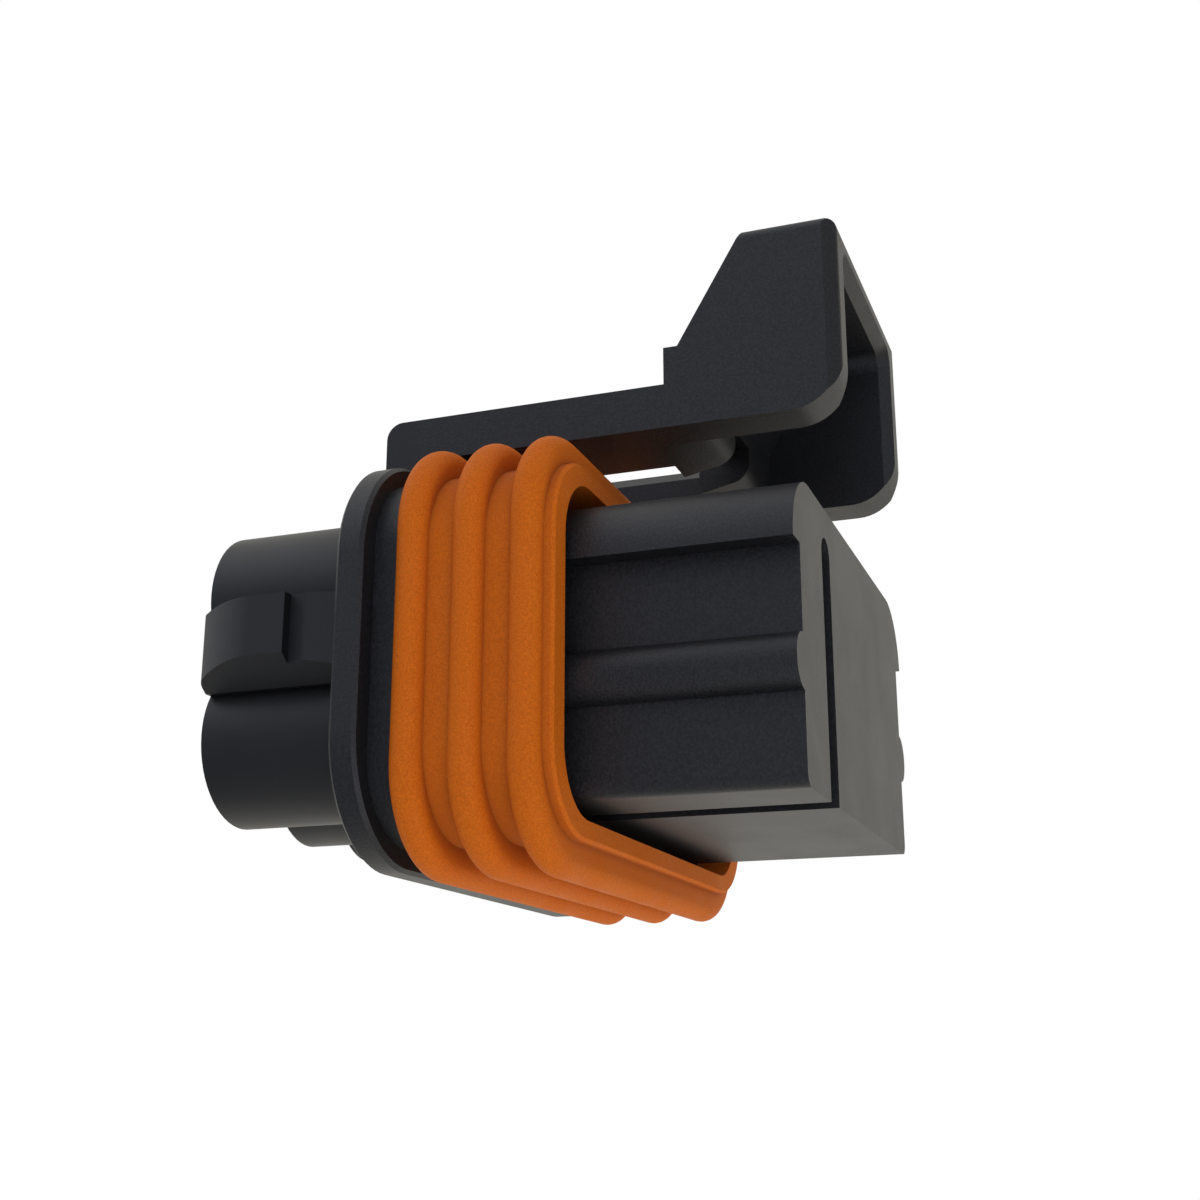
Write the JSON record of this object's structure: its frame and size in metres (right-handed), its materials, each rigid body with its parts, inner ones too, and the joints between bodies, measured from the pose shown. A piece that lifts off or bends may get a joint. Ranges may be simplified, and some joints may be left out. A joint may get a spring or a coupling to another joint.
{
  "type": "connector housing",
  "caption": "Rectangular sealed wire connector housing: keyed nose, ribbed perimeter seal, flange, round rear wire barrels and a hooded spring latch above.",
  "frame": {"origin": "bottom centre of the bounding box: middle of the length and width, level with the lowest crest of the perimeter seal", "axes": "+X is the mating direction, out of the nose; +Z is the latch side; +Y completes the right-handed set, so the key slot is on the -Y side"},
  "size_m": [0.0254, 0.0274, 0.0269],
  "materials": {
    "black_plastic": "fine-grained moulded, semi-matt",
    "latch_plastic": "fine-grained moulded, semi-matt",
    "orange_seal": "smooth moulded elastomer, satin"
  },
  "bodies": {
    "housing": {"housing": "black_plastic", "perimeter_seal": "orange_seal"},
    "latch": {"latch": "latch_plastic"}
  },
  "joints": [
    {"name": "latch_flex", "type": "hinge", "parent": "housing", "child": "latch", "pos_m": [-0.00738, 0, 0.01846], "axis": [0, -1, 0], "range_deg": [0, 7], "stiffness_Nm_per_rad": 0.5}
  ]
}
